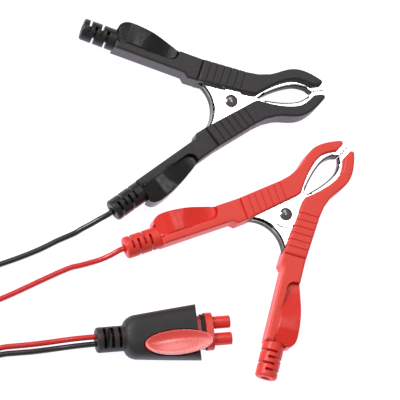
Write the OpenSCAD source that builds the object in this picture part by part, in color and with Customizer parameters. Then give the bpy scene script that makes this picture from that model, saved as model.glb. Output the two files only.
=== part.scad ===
// Quick-connect clamp leads of a car battery charger: a round-pin plug, two wires
// and two sprung clamps. Millimetres, +Z up, all pieces lie on the plane z = 0.

/* [Clamp grip] */
// Height of the jaw covers, across their flat faces
cover_height = 14.5; // [13:0.5:18]
// Height of the handles between the jaw covers and the thumb pads
handle_height = 13.2; // [11.5:0.1:14]
// Angle of each handle from the middle line of the clamp
handle_angle = 27.5; // [24:0.5:32]
// Distance from the rivet back to the joint between jaw cover and handle
seam_back = 19.1; // [17.5:0.1:21]
// Distance of the grip's inner edge from the handle's line through the rivet
grip_inner = 3.4; // [2.8:0.1:3.6]
// Distance of the grip's outer edge from the handle's line through the rivet
grip_outer = 14.8; // [14.2:0.1:17]
// Distance from the rivet back to the end of the handle
handle_back = 63; // [61:0.5:70]
// Inner edge of the handle behind its front tongue
handle_inner = 5; // [4.2:0.1:5.6]
// Distance from the rivet back to the end of that tongue
tongue_back = 25.6; // [25:0.1:29]
// Radius that rounds the long edges of covers and handles
edge_round = 1.1; // [0.6:0.1:1.3]

/* [Grip ribs and thumb pad] */
// Number of grooves across each jaw cover
rib_count = 6; // [3:1:6]
// Distance from one groove to the next
rib_pitch = 3.5; // [2.4:0.1:3.6]
// Width of a groove
rib_width = 0.6; // [0.4:0.1:1.2]
// Depth of a groove
rib_depth = 0.4; // [0.2:0.1:0.8]
// Where the thumb pad begins behind the rivet
pad_front = 31.7; // [30:0.1:36]
// Inner edge of the thumb pad
pad_inner = 8.9; // [8.5:0.1:11]
// How far the thumb pad swells to the outside
lobe_outer = 19.9; // [18.5:0.1:23]
// Length of the rounded end of the thumb pad
lobe_end = 5.5; // [4:0.1:7]
// Radius of the thumb pad's front end
pad_round = 4; // [2:0.1:5]
// How far the thumb pad's front end is sunk below the handle's face
pad_sink = 1.5; // [0.5:0.1:1.8]
// Distance from the thumb pad's crest back to the lobe's rear end
pad_crest = 9; // [7:0.5:11]
// How far the thumb pad falls from its crest to that end
pad_drop = 1.8; // [1:0.1:2]

/* [Jaw cover] */
// Distance from the rivet to the tip of the jaw covers
cover_reach = 46.9; // [46:0.1:48]
// Height of the knee where the cover's inner edge starts into the jaw
knee_y = 1.5; // [1.2:0.1:2]
// Distance from the rivet to that knee
knee_x = 12.7; // [12:0.1:13.4]
// Inner edge of the cover at the widest place of the jaw
cover_belly = 6.7; // [6.4:0.1:7]
// Inner edge of the cover at the nose
cover_nose = 2.4; // [2.2:0.1:2.8]
// Waist of the cover's outer edge, from the middle line
waist_y = 10.8; // [10:0.1:11.4]
// Hump of the cover's outer edge, from the middle line
hump_y = 12.1; // [11.6:0.1:13.4]
// Distance over which the outer edge falls from the hump to the middle line
nose_fall = 19.4; // [18.6:0.1:20.4]

/* [Metal jaw] */
// How far the metal jaws' tips stand out in front of the covers
nose_reach = 0.6; // [0:0.1:1]
// Where the mouth between the metal jaws begins
mouth_start = 12.8; // [12:0.1:13.6]
// Where the mouth ends and the teeth begin
mouth_end = 41.5; // [40.8:0.1:42]
// Half of the mouth's width at its widest place
mouth_half = 4.3; // [3.8:0.1:4.5]
// Distance from the rivet to the widest place of the mouth
mouth_wide = 32; // [30:0.5:34]
// Half of the gap between the closed jaws
jaw_gap = 0.15; // [0.1:0.05:0.3]
// Thickness of the jaws' sheet steel
sheet = 1.2; // [0.8:0.1:1.3]
// Height over the outer, wired jaw's cheeks
jaw_height = 9.7; // [9.4:0.1:10.6]
// Number of teeth on a jaw
tooth_count = 5; // [3:1:8]
// Depth of a tooth
tooth_depth = 0.5; // [0.2:0.1:0.6]
// Radius of the ears round the rivet
ear_radius = 6.3; // [6:0.1:6.4]

/* [Rivet and spring] */
// Radius of the rivet's shaft
rivet_radius = 2; // [1.5:0.1:2.4]
// Radius of the rivet's head
rivet_head = 3.25; // [2.8:0.05:4]
// Height of the rivet's domed head
rivet_dome = 0.9; // [0.5:0.1:1.1]
// Gap all round between the rivet and the ears' holes
rivet_play = 0.05; // [0.02:0.01:0.08]
// Distance from the rivet back to the leaf spring
spring_back = 8.8; // [8.4:0.1:10]
// Radius of the leaf spring's bend, outside
spring_bend = 17.3; // [17:0.1:18]
// Thickness of the leaf spring
spring_sheet = 1; // [0.6:0.1:1.2]
// Width of the leaf spring
spring_width = 4; // [3:0.1:4.2]

/* [Boots] */
// Radius of the strain-relief boots
boot_radius = 5.4; // [5:0.1:5.8]
// Length of a boot behind its handle
boot_length = 17.5; // [16.5:0.5:20]
// Radius of the spigot that holds a boot in its handle
spigot_radius = 4; // [3.6:0.1:4.4]
// Length of that spigot
spigot_length = 4; // [3:0.5:6]
// Number of bending slots in a boot
slot_count = 4; // [2:1:4]
// Distance from one slot to the next
slot_pitch = 3.1; // [2.4:0.1:3.2]
// Width of a slot
slot_width = 1.3; // [0.8:0.1:1.5]
// Thickness of the boot's wall that a slot leaves round the wire
slot_core = 1; // [0.8:0.1:1.6]

/* [Wire] */
// Outer diameter of each wire
wire_diameter = 2.8; // [2.4:0.1:3]
// Clearance of the wire in its holes
wire_play = 0.2; // [0.1:0.05:0.3]
// Outer radius of the crimped barrel
crimp_radius = 2.2; // [2:0.05:2.25]
// Length of the crimped barrel
crimp_length = 8; // [5:0.5:9]

/* [Plug housing] */
// Height of the plug's housing
housing_height = 16.4; // [15.8:0.1:17]
// Width of the housing at its mouth
mouth_width = 27; // [26.6:0.1:30]
// Width of the housing at its shoulders
shoulder_width = 21.5; // [21:0.1:24]
// Length of the housing from its shoulders' start to its mouth
housing_length = 36; // [35:0.5:40]
// Length of the rounded shoulders
shoulder_length = 7; // [5:0.5:8]
// How much shorter the mouth's upper edge is than its lower edge
mouth_slant = 3.6; // [2:0.1:4]
// Radius of the plug's neck
neck_radius = 6.2; // [6:0.05:6.8]
// Length of the plug's neck
neck_length = 13.6; // [13:0.1:16]
// Number of slots across the neck
neck_slots = 3; // [2:1:3]
// Distance from one neck slot to the next
neck_pitch = 3.75; // [3:0.05:3.9]
// Width of a neck slot
neck_slot_width = 1.5; // [1:0.1:1.8]
// Wall of the housing around its mouth
housing_wall = 2.1; // [1.6:0.1:2.4]
// Depth of the open mouth
mouth_depth = 8.5; // [7:0.1:9.5]

/* [Plug insert] */
// Distance between the two prongs
prong_pitch = 8.2; // [7.8:0.1:9]
// Radius of a prong
prong_radius = 3.1; // [2.8:0.05:3.4]
// Length of a prong in front of the flange
prong_length = 9.1; // [8:0.1:12]
// Round of the insert's body
insert_round = 4; // [3.8:0.1:4.1]
// Round of the insert's flange
flange_round = 5.2; // [4.8:0.1:5.4]
// Thickness of the flange
flange_length = 3.5; // [2:0.1:4]
// How far the flange's front stands in front of the mouth
insert_reach = 7.5; // [7:0.1:8.5]
// Length of the insert behind the flange's front
insert_length = 24; // [20:0.5:25]
// Diameter of the sealing ring's section
seal_section = 2; // [1.6:0.1:2.2]
// How far the sealing ring stands out of its groove
seal_proud = 0.55; // [0.3:0.05:0.7]
// Outer radius of a contact socket
contact_radius = 1.9; // [1.8:0.05:2.1]
// Bore radius of a contact socket
contact_bore = 1.2; // [0.8:0.05:1.3]
// How far a contact's end is set back in its prong
contact_set_back = 0.6; // [0.2:0.1:2]

/* [Plug latch] */
// Length of the latch's thumb plate
latch_length = 33.5; // [32:0.5:36]
// Width of the latch's thumb plate
latch_width = 11.9; // [11:0.1:13]
// How far the thumb plate stands over the housing
latch_rise = 0.9; // [0.6:0.1:1.4]
// Thickness of the thumb plate
latch_thick = 2.8; // [2.6:0.1:3]
// Distance from the housing's mouth back to the latch's pin
latch_back = 10.9; // [10.5:0.1:12]
// How far the latch lies to one side of the plug
latch_side = 5.3; // [4.5:0.1:5.6]
// Depth of the thumb plate's dish
latch_dish = 0.7; // [0.3:0.1:1]
// Width of the rim round the dish
latch_rim = 1; // [0.7:0.1:1.6]
// Gap all round between the latch and its well
latch_gap = 0.4; // [0.35:0.05:0.6]
// Angle that the latch turns when it is pressed
latch_swing = 4; // [2:0.5:5]
// Radius of the latch's pin
latch_pin_radius = 0.7; // [0.6:0.05:0.8]
// Gap all round between the latch and its pin
latch_play = 0.05; // [0.02:0.01:0.08]

/* [Coil of spare wire] */
// Radius of the coil's outermost turn
coil_radius = 21.5; // [20:0.5:24]
// Distance between the two wires, and from one pair of turns to the next
coil_pitch = 3.1; // [3.05:0.05:3.4]
// Rise from the coil's lower layer to its upper layer
coil_rise = 3.3; // [3.25:0.05:3.6]
// Thickness of the tie's band, which the coil rests on
tie_band = 0.8; // [0.6:0.1:1]
// Width of the tie's band
tie_width = 3.6; // [2.5:0.1:4.8]

/* [Hidden] */
$fn = 48;
part_gap = 0.1;
cut_over = 1;
seam_overlap = 0.2;

// Where the three pieces lie: the rivets, and the middle of the plug's mouth
black_place = [6.68, 47.96];
black_turn = 7.2;
red_place = [31.12, -8.82];
red_turn = 45.9;
plug_place = [-15.2, -66.33];
plug_turn = 4.1;

mid_height = cover_height / 2;
wire_radius = wire_diameter / 2;
wire_hole = wire_radius + wire_play;
wired = -1;
moving = 1;
jaw_reach = cover_reach + nose_reach;

// Heights of the two jaws' cheeks: the moving jaw nests inside the wired one
boot_drop = 0.25;
wired_half = jaw_height / 2;
moving_half = wired_half - sheet - part_gap;
boot_axis = handle_inner + boot_radius - boot_drop;
boot_back = handle_back + boot_length;
crimp_front = 9;
tail_outer = boot_axis - crimp_radius - part_gap;
tail_run = 6.5;
tail_back = seam_back + tail_run;
ear_relief = 0.4;

// Latch heights, from the plug's middle
latch_top = housing_height / 2 + latch_rise;
latch_under = latch_top - latch_thick;
latch_pin_length = 9.6;
pin_below = 0.8;
latch_pin_height = latch_under - pin_below;
latch_drop = (latch_length / 2 + latch_gap) * sin(latch_swing);
boss_length = 3.6;
boss_width = 5;
boss_below = 1.2;
boss_clear = 0.15;
hook_back = 0.4;
hook_length = 1.6;
hook_depth = 0.6;
latch_spring_radius = 1.8;
latch_spring_wall = 0.5;
latch_spring_place = -latch_length / 4;
spring_sink = 0.8;
spring_floor = latch_under - latch_drop - part_gap - spring_sink;
insert_back = insert_reach - insert_length;
seal_centre = insert_reach - flange_length - seal_section / 2;

// ---------- shared shapes ----------

// Puts a clamp's own frame, with the rivet at the origin and the jaws towards +X, in place
module at_clamp(place, turn) {
    translate([place.x, place.y, mid_height]) rotate(turn) children();
}

// The arms are drawn on the +Y side, and the other arm is their mirror image
module on_side(side) {
    mirror([0, side < 0 ? 1 : 0, 0]) children();
}

// The handle's frame: X runs back along the handle and Y outwards, from the rivet
module on_handle() {
    rotate(-handle_angle) mirror([1, 0, 0]) children();
}

// A point of the handle's frame, written in the clamp's frame
function handle_point(back, out) = [
    -cos(handle_angle) * back + sin(handle_angle) * out,
    sin(handle_angle) * back + cos(handle_angle) * out
];

// The plug's own frame: the middle of its mouth at the origin, the prongs towards +X
module at_plug() {
    translate([plug_place.x, plug_place.y, housing_height / 2]) rotate(plug_turn) children();
}

function unit(v) = v / norm(v);

// A closed outline, counterclockwise, moved inwards by a distance at every corner
function inset(outline, distance) = [
    for (i = [0:len(outline) - 1])
        let (count = len(outline))
        let (before = unit(outline[i] - outline[(i + count - 1) % count]))
        let (after = unit(outline[(i + 1) % count] - outline[i]))
        let (inward = unit([-before.y - after.y, before.x + after.x]))
        outline[i] + inward * distance / max(0.5, inward * [-after.y, after.x])
];

// A slab of an outline, centred on z = 0, with both its faces' edges rounded. Its flat
// faces are laid out as a ladder from the outline's first side to its last
module rounded_slab(outline, height, round_radius, steps = 4) {
    count = len(outline);
    levels = concat(
        [for (i = [0:steps]) let (a = 90 * i / steps)
            [round_radius * (1 - sin(a)), -height / 2 + round_radius * (1 - cos(a))]],
        [for (i = [steps:-1:0]) let (a = 90 * i / steps)
            [round_radius * (1 - sin(a)), height / 2 - round_radius * (1 - cos(a))]]
    );
    points = [
        for (level = levels)
            let (ring = inset(outline, level[0]))
            for (p = ring) [p.x, p.y, level[1]]
    ];
    ladder = [
        for (i = [0:floor(count / 2) - 1], half = [0, 1])
            let (last = count - 1 - i)
            if (i + 1 < last - half) half == 0 ? [i, i + 1, last] : [i + 1, last - 1, last]
    ];
    top = (len(levels) - 1) * count;
    faces = concat(
        ladder,
        [for (k = [0:len(levels) - 2], i = [0:count - 1], half = [0, 1])
            let (a = k * count + i)
            let (b = k * count + (i + 1) % count)
            half == 0 ? [a, a + count, b] : [b, a + count, b + count]],
        [for (rung = ladder) [top + rung[2], top + rung[1], top + rung[0]]]
    );
    polyhedron(points, faces, convexity = 6);
}

// Rings of the same number of points, joined into one closed skin
module skin(rings) {
    count = len(rings[0]);
    points = [for (ring = rings, p = ring) p];
    faces = concat(
        [for (i = [1:count - 2]) [0, i + 1, i]],
        [for (k = [0:len(rings) - 2], i = [0:count - 1], half = [0, 1])
            let (a = k * count + i)
            let (b = k * count + (i + 1) % count)
            half == 0 ? [a, b, a + count] : [b, b + count, a + count]],
        [for (i = [1:count - 2]) let (last = (len(rings) - 1) * count) [last, last + i, last + i + 1]]
    );
    polyhedron(points, faces, convexity = 10);
}

// The direction of a route at one of its points
function heading(route, i) = unit(route[min(i + 1, len(route) - 1)] - route[max(i - 1, 0)]);

// A round tube along a route
module tube(route, radius, sides) {
    skin([
        for (i = [0:len(route) - 1])
            let (ahead = heading(route, i))
            let (across = unit(cross(ahead, [0, 0, 1])))
            let (up = cross(across, ahead))
            [for (k = [0:sides - 1])
                let (a = 360 * (k + 0.5) / sides)
                route[i] + radius * (across * cos(a) + up * sin(a))]
    ]);
}

function route_length(route) = len(route) < 2 ? 0
    : [for (i = [1:len(route) - 1]) norm(route[i] - route[i - 1])] * [for (i = [1:len(route) - 1]) 1];

// A flat stadium round the pair of prongs, along X
module stadium(from_x, to_x, radius) {
    rotate([90, 0, 90]) translate([0, 0, from_x]) linear_extrude(to_x - from_x) {
        square([prong_pitch, 2 * radius], center = true);
        for (end = [-1, 1]) translate([end * prong_pitch / 2, 0]) circle(radius);
    }
}

// A round bar along X, from one place to another
module bar_x(from_x, to_x, radius) {
    translate([from_x, 0, 0]) rotate([0, 90, 0]) cylinder(h = to_x - from_x, r = radius);
}

// ---------- outlines of a clamp's arm ----------

seam_inner = handle_point(seam_back, grip_inner);
seam_outer = handle_point(seam_back, grip_outer);
knee_soft = 0.6;
knee_run = 1.6;
tip_bevel = 1;
tip_x = cover_reach - 0.4;
nose_x = mouth_end;
spring_centre = [-spring_back - spring_bend, 0];
plate_gap = 0.35;
plate_angle = 42;
belly_run = 0.5;
belly_x = mouth_wide + belly_run;
waist_run = 11;
waist_x = mouth_wide - waist_run;

// The cover's inner edge rises from the knee to the belly and falls to the nose
function cover_inside(x) = x < belly_x
    ? knee_y + (cover_belly - knee_y) * sin(90 * (x - knee_x) / (belly_x - knee_x))
    : cover_nose + (cover_belly - cover_nose) * cos(90 * (x - belly_x) / (nose_x - belly_x));

// The cover's outer edge falls from the hump to the tip, and to the waist behind it
function cover_outside(x) = x > mouth_wide
    ? hump_y * cos(90 * (x - mouth_wide) / nose_fall)
    : waist_y + (hump_y - waist_y) * (1 - cos(180 * (x - waist_x) / (mouth_wide - waist_x))) / 2;

cover_outline = concat(
    [seam_inner, [knee_x - knee_run, knee_y + knee_soft / 2]],
    [for (i = [0:10]) let (x = knee_x + (belly_x - knee_x) * i / 10)
        [x + (i == 0 ? knee_soft : 0), cover_inside(x)]],
    [for (i = [1:4]) let (x = belly_x + (nose_x - belly_x) * i / 4) [x, cover_inside(x)]],
    [[cover_reach - tip_bevel, cover_nose], [cover_reach, cover_nose + 1.2 * tip_bevel]],
    [for (i = [0:7]) let (x = tip_x - (tip_x - mouth_wide) * i / 7) [x, cover_outside(x)]],
    [for (i = [1:6]) let (x = mouth_wide - (mouth_wide - waist_x) * i / 6) [x, cover_outside(x)]],
    [[waist_x - 5.5, waist_y + 0.6], [waist_x - 10.5, waist_y + 2.2], seam_outer]
);

// The handle's outline, in its own frame. The lobe that carries the thumb pad hides its
// outer edge behind the pad's front
lobe_rear = handle_back + 1;
lobe_peak = lobe_rear - lobe_end;
lobe_root = boot_axis + boot_radius;
lobe_step = 0.4;
lobe_steps = 8;
end_steps = 5;

// The lobe's outer edge, from its front to its rear
lobe_edge = concat(
    [[pad_front, grip_outer - 0.3]],
    [for (i = [1:lobe_steps]) [pad_front + (lobe_peak - pad_front) * i / lobe_steps,
        grip_outer + (lobe_outer - grip_outer) * sin(90 * i / lobe_steps)]],
    [for (i = [1:end_steps]) [lobe_peak + lobe_end * sin(90 * i / end_steps),
        lobe_root + lobe_step + (lobe_outer - lobe_root - lobe_step) * cos(90 * i / end_steps)]]
);
edge_last = lobe_steps + end_steps;

handle_outline = concat(
    [[seam_back, grip_inner], [tongue_back - 1, grip_inner - 0.3], [tongue_back + 1, handle_inner]],
    [[handle_back, handle_inner], [handle_back, lobe_root - lobe_step]],
    [for (i = [edge_last - 2:-1:2]) lobe_edge[i] - [0, lobe_step]],
    [[pad_front, grip_outer], [seam_back, grip_outer]]
);

// The lobe's own outline: a rounded front, a straight inner edge and the edge above
function pad_edge(x) = let (d = pad_round - min(pad_round, x - pad_front))
    pad_inner + pad_round - sqrt(pad_round * pad_round - d * d);
lobe_outline = concat(
    [for (i = [0:edge_last - 3])
        let (x = i == 1 ? pad_front + pad_round / 4 : lobe_edge[i].x)
        [x, pad_edge(x)]],
    [for (i = [0:2]) [handle_back - lobe_step, pad_inner + (lobe_root - lobe_step - pad_inner) * i / 2]],
    [for (i = [edge_last:-1:0]) lobe_edge[i]]
);

// The metal jaw's inner edge, which bounds the mouth
function mouth_edge(x) = x < mouth_wide
    ? jaw_gap + (mouth_half - jaw_gap) * sin(90 * (x - mouth_start) / (mouth_wide - mouth_start))
    : jaw_gap + (mouth_half - jaw_gap) * pow(cos(90 * (x - mouth_wide) / (mouth_end - mouth_wide)), 0.8);

function mouth_points() = concat(
    [for (i = [0:8]) let (x = mouth_start + (mouth_wide - mouth_start) * i / 8) [x, mouth_edge(x)]],
    [for (i = [1:6]) let (x = mouth_wide + (mouth_end - mouth_wide) * i / 6) [x, mouth_edge(x)]]
);

tooth_pitch = (jaw_reach - mouth_end - 0.2) / tooth_count;
function tooth_points() = [
    for (i = [0:tooth_count - 1], half = [0.5, 1])
        [mouth_end + tooth_pitch * (i + half), jaw_gap + (half == 0.5 ? tooth_depth : 0)]
];

// How far the cheeks reach under the cover, and the corners of their nose and root
cheek_lap = 2.2;
nose_lap = 1.1;
nose_bevel = 1.6;
nose_blunt = 0.6;
cheek_root = 7.5;
tail_root = 14;

// Plan of a jaw's cheeks: the ear, the strip along the mouth, the nose, the tail's root
// and the plate that fills the space back to the leaf spring
module jaw_plan() {
    circle(ear_radius);
    polygon(concat(
        [[0, jaw_gap]], mouth_points(), tooth_points(), nose_points(),
        [for (i = [6:-1:0]) let (x = mouth_start + (mouth_end - mouth_start) * i / 6)
            [x, max(knee_y, cover_inside(x)) + cheek_lap]],
        [[cheek_root, cheek_root], handle_point(tail_root, tail_outer)],
        [for (i = [6:-1:0]) let (a = plate_angle * i / 6)
            spring_centre + (spring_bend + plate_gap) * [cos(a), sin(a)]]
    ));
}

function nose_points() = [
    [jaw_reach, jaw_gap + nose_blunt], [jaw_reach - nose_bevel, cover_nose + nose_lap]
];

// The upright wall of the channel, along the mouth
module mouth_wall_plan() {
    polygon(concat(
        mouth_points(), tooth_points(),
        nose_points(), [[mouth_end, jaw_gap + 2 * sheet]],
        [for (i = [14:-1:0]) let (p = mouth_points()[i]) [p.x, p.y + sheet]]
    ));
}

// The jaw's tail: an upright wall that runs back under the cover into the handle
module tail_plan(grow = 0) {
    on_handle() translate([-2 - grow, tail_outer - sheet - grow])
        square([tail_back + 2 + 2 * grow, sheet + 2 * grow]);
}

// The leaf spring: an arch behind the rivet, whose ends run on along the two handles
spring_leg = 2;
spring_steps = 16;

function spring_side(radius, leg) =
    let (half_angle = 90 - handle_angle)
    let (along = [-cos(handle_angle), sin(handle_angle)])
    let (arch = [for (i = [-spring_steps:spring_steps]) let (a = half_angle * i / spring_steps)
        spring_centre + radius * [cos(a), sin(a)]])
    concat(
        [arch[0] + leg * [along.x, -along.y]],
        arch,
        [arch[len(arch) - 1] + leg * along]
    );

module spring_plan(grow = 0) {
    outside = spring_side(spring_bend + grow, spring_leg + grow);
    inside = spring_side(spring_bend - spring_sheet - grow, spring_leg + grow);
    polygon(concat(outside, [for (i = [len(inside) - 1:-1:0]) inside[i]]));
}

// Room inside a cover or handle for the metal jaw, the other jaw's ears and the spring
module jaw_room(side) {
    half = side == wired ? wired_half : moving_half;
    translate([0, 0, -half - part_gap]) linear_extrude(2 * (half + part_gap)) {
        offset(delta = part_gap) jaw_plan();
        tail_plan(part_gap);
    }
    ear_room = wired_half + part_gap;
    translate([0, 0, -ear_room]) cylinder(h = 2 * ear_room, r = ear_radius + ear_relief);
    spring_room = spring_width / 2 + part_gap;
    translate([0, 0, -spring_room]) linear_extrude(2 * spring_room) spring_plan(0.15);
}

// ---------- pieces of a clamp ----------

// Sheet-steel jaw: two cheeks with ears on the rivet, a wall along the mouth and a tail
module jaw(side) {
    half = side == wired ? wired_half : moving_half;
    color("silver") on_side(side) difference() {
        union() {
            for (face = [-half, half - sheet])
                translate([0, 0, face]) linear_extrude(sheet) jaw_plan();
            translate([0, 0, -half]) linear_extrude(2 * half) {
                mouth_wall_plan();
                tail_plan();
            }
        }
        cylinder(h = 2 * jaw_height, r = rivet_radius + rivet_play, center = true);
        if (side == wired)
            cylinder(h = 2 * (half - sheet), r = ear_radius + ear_relief, center = true);
    }
}

// Ribbed plastic cover that wraps the outside of a jaw
module cover(side, paint) {
    color(paint) on_side(side) difference() {
        rounded_slab(cover_outline, cover_height, edge_round);
        jaw_room(side);
        on_handle() translate([crimp_front - cut_over, boot_axis, 0])
            bar_x(0, seam_back, crimp_radius + part_gap);
        rib_grooves();
    }
}

rib_start = 3.9;

// Grooves across both faces of a cover and over its outer edge
module rib_grooves() {
    difference() {
        on_handle() for (i = [0:rib_count - 1])
            translate([seam_back - rib_start - rib_pitch * i, grip_outer / 2, 0])
                cube([rib_width, 2 * grip_outer, 2 * cover_height], center = true);
        linear_extrude(cover_height - 2 * rib_depth, center = true) union() {
            offset(delta = -rib_depth) polygon(cover_outline);
            on_handle() translate([-cover_height, -grip_outer])
                square([2 * cover_height + seam_back, grip_outer + grip_inner + rib_depth]);
        }
    }
}

// Plastic handle with a swollen lobe and sloping thumb pads
module handle(side, paint) {
    color(paint) on_side(side) difference() {
        on_handle() union() {
            rounded_slab(handle_outline, handle_height, edge_round);
            rounded_slab(lobe_outline, cover_height, edge_round);
        }
        on_handle() for (face = [0, 1]) mirror([0, 0, face]) pad_cut();
        jaw_room(side);
        on_handle() translate([0, boot_axis, 0])
            bar_x(seam_back - cut_over, handle_back + cut_over, crimp_radius + part_gap);
        on_handle() translate([0, boot_axis, 0])
            bar_x(handle_back - spigot_length - part_gap, handle_back + cut_over, spigot_radius + part_gap);
    }
}

// Height of the thumb pad's surface: sunk at the front, up to a crest, down to the rear
crest_back = lobe_rear - pad_crest;
crest_level = cover_height / 2 - 0.05;
front_level = handle_height / 2 - pad_sink;
function pad_level(x) = x < crest_back
    ? front_level + (crest_level - front_level) * (1 - cos(180 * (x - pad_front) / (crest_back - pad_front))) / 2
    : crest_level - pad_drop * (1 - cos(90 * (x - crest_back) / pad_crest));

// What is cut away over the thumb pad
module pad_cut() {
    high = cover_height;
    intersection() {
        linear_extrude(high) union() {
            translate([pad_front + pad_round, pad_inner + pad_round]) circle(pad_round);
            translate([pad_front, pad_inner + pad_round]) square([handle_back, lobe_outer]);
            translate([pad_front + pad_round, pad_inner]) square([handle_back, lobe_outer]);
        }
        translate([0, 3 * lobe_outer, 0]) rotate([90, 0, 0]) linear_extrude(3 * lobe_outer) polygon(concat(
            [[pad_front - cut_over, high], [pad_front - cut_over, front_level]],
            [for (i = [0:12]) let (x = pad_front + (lobe_rear - pad_front) * i / 12) [x, pad_level(x)]],
            [[lobe_rear + cut_over, crest_level - pad_drop], [lobe_rear + cut_over, high]]
        ));
    }
}

// Rubber boot with bending slots, held in the handle by a spigot
module boot(side, paint) {
    color(paint) on_side(side) on_handle() translate([0, boot_axis, 0]) difference() {
        union() {
            bar_x(handle_back - spigot_length, handle_back + cut_over, spigot_radius);
            translate([boot_back, 0, 0]) rotate([0, -90, 0]) rotate_extrude()
                boot_profile();
        }
        bar_x(handle_back - spigot_length - cut_over, boot_back + cut_over, wire_hole);
        translate([boot_back - boot_flare, 0, 0]) rotate([0, 90, 0])
            cylinder(h = boot_flare + 0.01, r1 = wire_hole, r2 = wire_hole + boot_flare / 2);
        for (i = [0:slot_count - 1])
            translate([boot_back - first_slot - slot_pitch * i, 0, 0]) mirror([0, i % 2, 0])
                boot_slot();
    }
}

boot_flare = 1.6;
first_slot = 3.6;
slot_bridge = 2;

// Half section of a boot: a straight barrel with a rounded end
module boot_profile() {
    end_round = 1.2;
    difference() {
        square([boot_radius, boot_length]);
        difference() {
            translate([boot_radius - end_round, 0]) square([end_round + 0.01, end_round]);
            translate([boot_radius - end_round, end_round]) circle(end_round);
        }
    }
}

// A slot from one side, which leaves a core round the wire and a bridge on the other side
module boot_slot() {
    difference() {
        translate([-slot_width / 2, -slot_bridge, -boot_radius - cut_over])
            cube([slot_width, boot_radius + slot_bridge + cut_over, 2 * (boot_radius + cut_over)]);
        bar_x(-slot_width, slot_width, wire_hole + slot_core);
    }
}

// Leaf spring that pushes the handles apart
module leaf_spring() {
    color("gainsboro") translate([0, 0, -spring_width / 2]) linear_extrude(spring_width) spring_plan();
}

// Rivet with two domed heads
module rivet() {
    color("silver") {
        cylinder(h = jaw_height, r = rivet_radius, center = true);
        for (face = [0, 1]) mirror([0, 0, face]) translate([0, 0, wired_half]) intersection() {
            dome_radius = (rivet_head * rivet_head + rivet_dome * rivet_dome) / (2 * rivet_dome);
            translate([0, 0, rivet_dome - dome_radius]) sphere(dome_radius, $fn = 96);
            cylinder(h = rivet_dome, r = rivet_head);
        }
    }
}

// Crimped barrel beside the wired jaw's tail
module crimp() {
    color("silver") on_side(wired) on_handle() translate([0, boot_axis, 0]) difference() {
        bar_x(crimp_front, crimp_front + crimp_length, crimp_radius);
        bar_x(crimp_front + sheet, boot_back, wire_radius + rivet_play);
    }
}

// The wire's end inside the handle and the boot
module clamp_wire(paint) {
    color(paint) on_side(wired) on_handle() translate([0, boot_axis, 0])
        bar_x(crimp_front + sheet, boot_back, wire_radius);
}

// ---------- pieces of the plug ----------

// A flattened ring round the plug's axis: round at the neck, squarer at the mouth
function plug_ring(x, half_width, half_height, power, slant = 0) = [
    for (i = [0:ring_sides - 1])
        let (a = 360 * i / ring_sides)
        let (y = -sign(cos(a)) * pow(abs(cos(a)), 2 / power) * half_width)
        let (z = sign(sin(a)) * pow(abs(sin(a)), 2 / power) * half_height)
        [x - slant * z, y, z]
];

ring_sides = 44;
half_height = housing_height / 2;
neck_back = -housing_length - neck_length;
neck_inside = 1.5;
shoulder_root = neck_radius - 0.3;

function plug_rings() = concat(
    [for (i = [0:6])
        let (t = sin(90 * i / 6))
        plug_ring(-housing_length + shoulder_length * (1 - cos(90 * i / 6)),
            shoulder_root + (shoulder_width / 2 - shoulder_root) * t,
            shoulder_root + (half_height - shoulder_root) * t, 2 + t)],
    [plug_ring(-mouth_depth - 4, mouth_width / 2 - (mouth_width - shoulder_width) / 2 * (mouth_depth + 4)
        / (housing_length - shoulder_length), half_height, 3.4)],
    [plug_ring(mouth_slant / 4, mouth_width / 2, half_height, 3.6, mouth_slant / housing_height)]
);

// Moulded housing with a slotted neck, an open mouth and a well for the latch
module plug_housing() {
    color("dimgray") at_plug() difference() {
        union() {
            skin(plug_rings());
            translate([neck_back, 0, 0]) rotate([0, 90, 0]) rotate_extrude() neck_profile();
        }
        mouth_room();
        stadium(insert_back - part_gap, 0, insert_round + part_gap);
        for (way = [-1, 1]) {
            translate([0, way * plug_wire_side, 0])
                bar_x(neck_back - cut_over, insert_back + cut_over, wire_radius + part_gap);
            translate([0, way * prong_pitch / 2, 0])
                bar_x(insert_back - contact_back - cut_over, insert_back + cut_over,
                    contact_radius + part_gap);
        }
        wire_fan_room();
        for (i = [0:neck_slots - 1]) translate([neck_back + first_neck_slot + neck_pitch * i, 0, 0]) neck_slot();
        latch_room();
    }
}

// Half section of the neck, with a rounded rear end
module neck_profile() {
    end_round = 1.3;
    difference() {
        square([neck_radius, neck_length + neck_inside]);
        difference() {
            translate([neck_radius - end_round, 0]) square([end_round + 0.01, end_round]);
            translate([neck_radius - end_round, end_round]) circle(end_round);
        }
    }
}

// Windows in the neck's upper and lower side, which let it bend and show the wires
module neck_slot() {
    for (way = [0, 1]) mirror([0, 0, way])
        translate([-neck_slot_width / 2, -window_half, wire_radius / 2])
            cube([neck_slot_width, 2 * window_half, neck_radius]);
}
window_half = 4.8;
first_neck_slot = 3.7;

plug_wire_side = wire_radius + 0.35;
contact_back = 3;
fan_length = 6;

// Open mouth round the insert, which takes the mating connector's shell
module mouth_room() {
    room_width = mouth_width - 2 * housing_wall;
    room_height = housing_height - 2 * housing_wall;
    translate([-mouth_depth, 0, 0]) rotate([90, 0, 90]) linear_extrude(mouth_depth + 3 * mouth_slant) {
        square([room_width - room_height, room_height], center = true);
        for (end = [-1, 1]) translate([end * (room_width - room_height) / 2, 0]) circle(room_height / 2);
    }
}

// Room where the two wires spread from the neck to the contacts
module wire_fan_room() {
    fan_back = insert_back - contact_back - fan_length;
    rotate([90, 0, 90]) translate([0, 0, fan_back]) linear_extrude(insert_back - fan_back) {
        square([prong_pitch, 2 * (contact_radius + 2 * part_gap)], center = true);
        for (end = [-1, 1]) translate([end * prong_pitch / 2, 0]) circle(contact_radius + 2 * part_gap);
    }
}

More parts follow.
